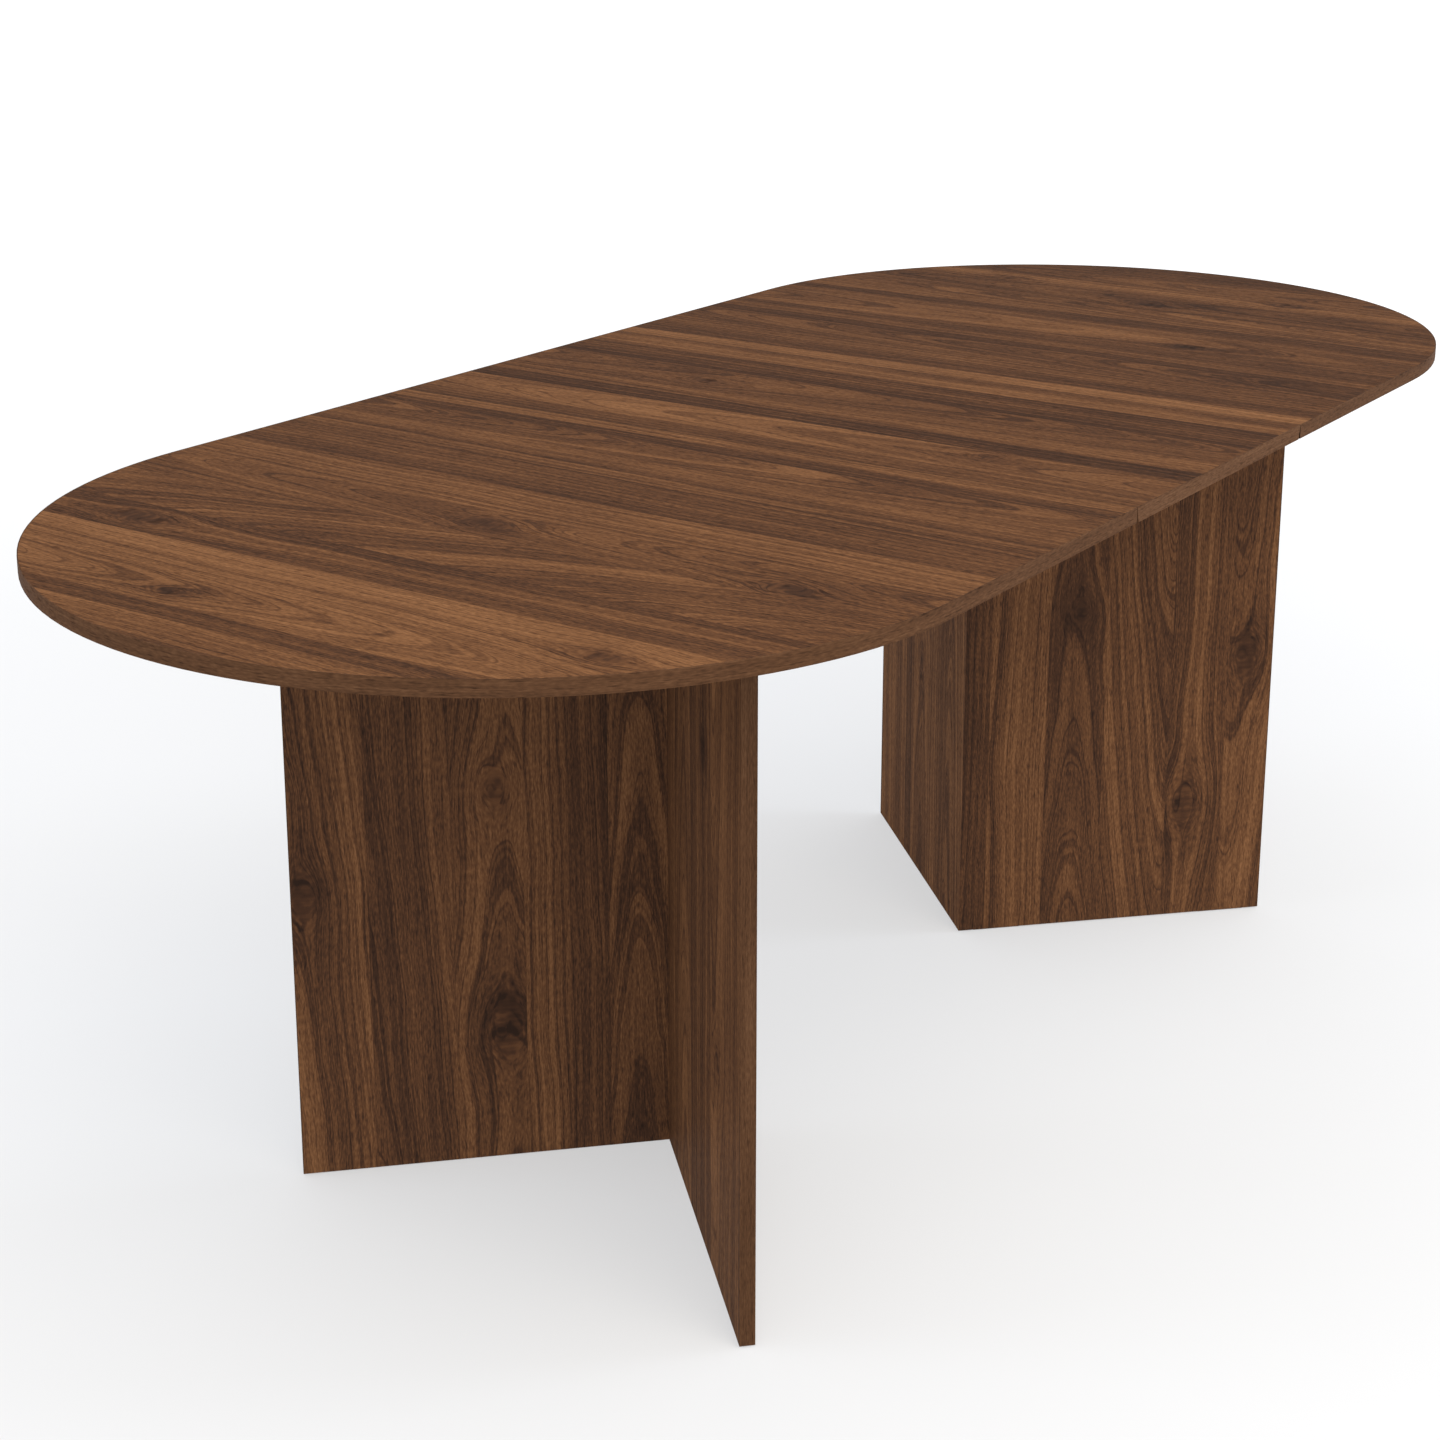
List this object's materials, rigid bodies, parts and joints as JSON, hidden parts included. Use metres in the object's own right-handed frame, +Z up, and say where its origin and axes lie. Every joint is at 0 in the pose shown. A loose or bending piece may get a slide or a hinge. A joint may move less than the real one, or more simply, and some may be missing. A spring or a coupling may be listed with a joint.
{
  "type": "extending dining table",
  "caption": "Extending dining table with round ends, V-shaped panel bases, and a loose leaf held by hook latches over telescopic slides.",
  "frame": {"origin": "centre of the extended table on the floor", "axes": "+X along the table, +Y across it to the back, +Z up"},
  "size_m": [2, 0.9, 0.74],
  "materials": {
    "walnut_top": "satin walnut-effect foil",
    "walnut_panel": "satin walnut-effect foil",
    "walnut_band": "satin edge band",
    "plain_wood": "bare wood",
    "zinc_steel": "zinc plated",
    "turned_steel": "zinc plated, turned",
    "nylon": "moulded nylon",
    "felt": "pressed felt"
  },
  "bodies": {
    "left_half": {"top_left": "walnut_top", "top_left_edge_band": "walnut_band", "top_left_joint_band": "walnut_band", "base_left_front_panel": "walnut_panel", "base_left_back_panel": "walnut_panel", "base_left_mitre_tongue": "plain_wood", "base_left_end_bands": "walnut_band", "base_left_brackets": "zinc_steel", "base_left_felt_pads": "felt", "slide_channel_left_front": "zinc_steel", "slide_channel_left_back": "zinc_steel", "slide_left_guides": "nylon", "latch_left_pivot": "turned_steel", "latch_left_spacer": "turned_steel"},
    "right_half": {"top_right": "walnut_top", "top_right_edge_band": "walnut_band", "top_right_joint_band": "walnut_band", "base_right_front_panel": "walnut_panel", "base_right_back_panel": "walnut_panel", "base_right_mitre_tongue": "plain_wood", "base_right_end_bands": "walnut_band", "base_right_brackets": "zinc_steel", "base_right_felt_pads": "felt", "slide_channel_right_front": "zinc_steel", "slide_channel_right_back": "zinc_steel", "slide_right_guides": "nylon", "latch_right_pivot": "turned_steel", "latch_right_spacer": "turned_steel"},
    "middle_rails": {"middle_rail_front": "zinc_steel", "middle_rail_back": "zinc_steel", "middle_rail_shoes": "nylon"},
    "leaf": {"leaf": "walnut_top", "leaf_edge_bands": "walnut_band", "leaf_joint_bands": "walnut_band", "leaf_saddles": "nylon", "leaf_studs": "turned_steel"},
    "latch_left": {"latch_left": "zinc_steel"},
    "latch_right": {"latch_right": "zinc_steel"}
  },
  "joints": [
    {"name": "top_extension", "type": "slide", "parent": "left_half", "child": "right_half", "axis": [1, 0, 0], "range_m": [-0.4, 0]},
    {"name": "rail_travel", "type": "slide", "parent": "left_half", "child": "middle_rails", "axis": [1, 0, 0], "range_m": [-0.2, 0]},
    {"name": "leaf_lift", "type": "slide", "parent": "middle_rails", "child": "leaf", "axis": [0, 0, 1], "range_m": [0, 0.8]},
    {"name": "latch_left_swing", "type": "hinge", "parent": "left_half", "child": "latch_left", "pos_m": [-0.22515, 0.06, 0.7196], "axis": [0, 0, 1], "range_deg": [0, 90]},
    {"name": "latch_right_swing", "type": "hinge", "parent": "right_half", "child": "latch_right", "pos_m": [0.22515, -0.06, 0.7196], "axis": [0, 0, 1], "range_deg": [0, 90]}
  ],
  "couplings": [
    {"joint": "rail_travel", "follows": "top_extension", "ratio": 0.5},
    {"joint": "leaf_lift", "follows": "top_extension", "ratio": -2}
  ]
}
